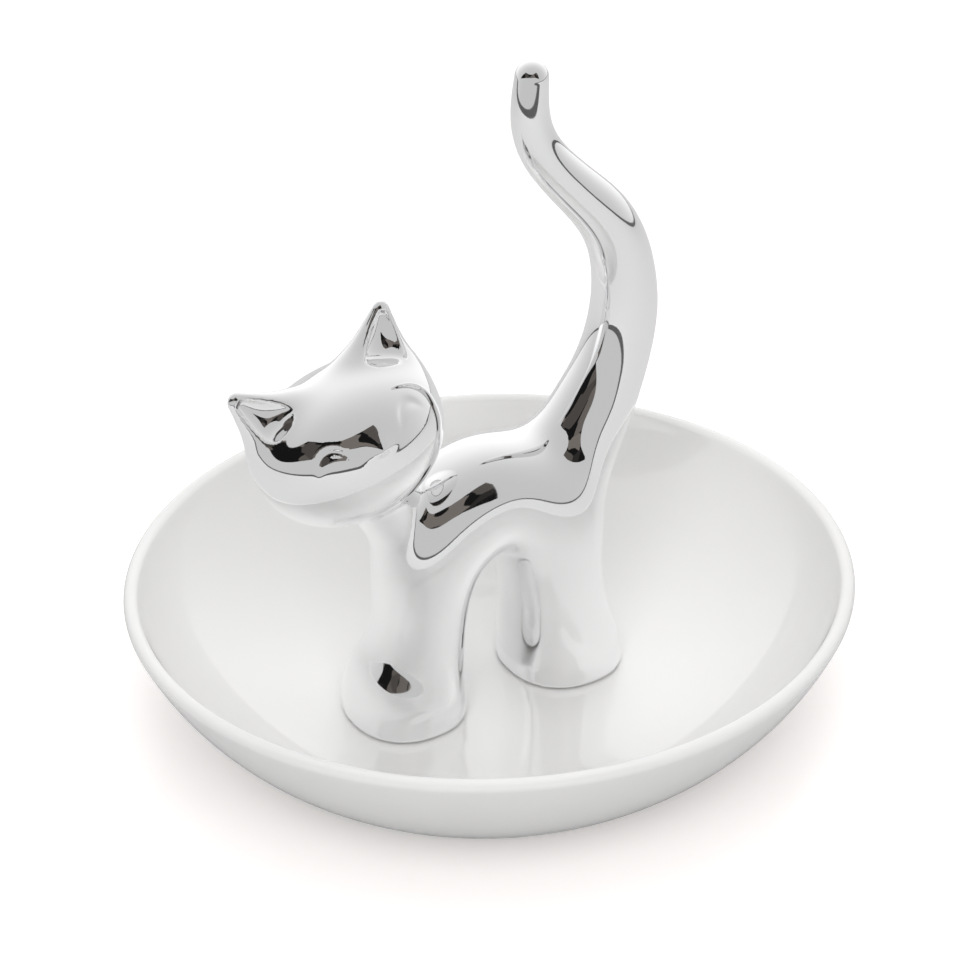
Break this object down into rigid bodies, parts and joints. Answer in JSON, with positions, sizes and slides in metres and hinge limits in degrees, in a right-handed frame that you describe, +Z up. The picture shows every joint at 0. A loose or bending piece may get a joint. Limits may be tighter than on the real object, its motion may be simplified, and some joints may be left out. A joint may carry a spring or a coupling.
{
  "type": "ring dish",
  "caption": "Round white porcelain dish on a foot ring, with a bright silver cat bonded to its floor whose upright curved tail holds rings.",
  "frame": {"origin": "on the dish's axis, at the height of the surface that the foot ring stands on", "axes": "+Z up along the dish's axis; the cat faces -Y, its left side is +X and its head is turned towards +X"},
  "size_m": [0.12, 0.12, 0.1147],
  "materials": {
    "glazed_porcelain": "clear glaze over white porcelain, unglazed under the foot ring",
    "silver_plating": "mirror-bright silver plating over cast ceramic",
    "clear_adhesive": "cured adhesive, slightly grey"
  },
  "bodies": {
    "root": {"dish": "glazed_porcelain", "cat_figure": "silver_plating", "front_foot_bond": "clear_adhesive", "rear_foot_bond": "clear_adhesive"}
  },
  "joints": []
}
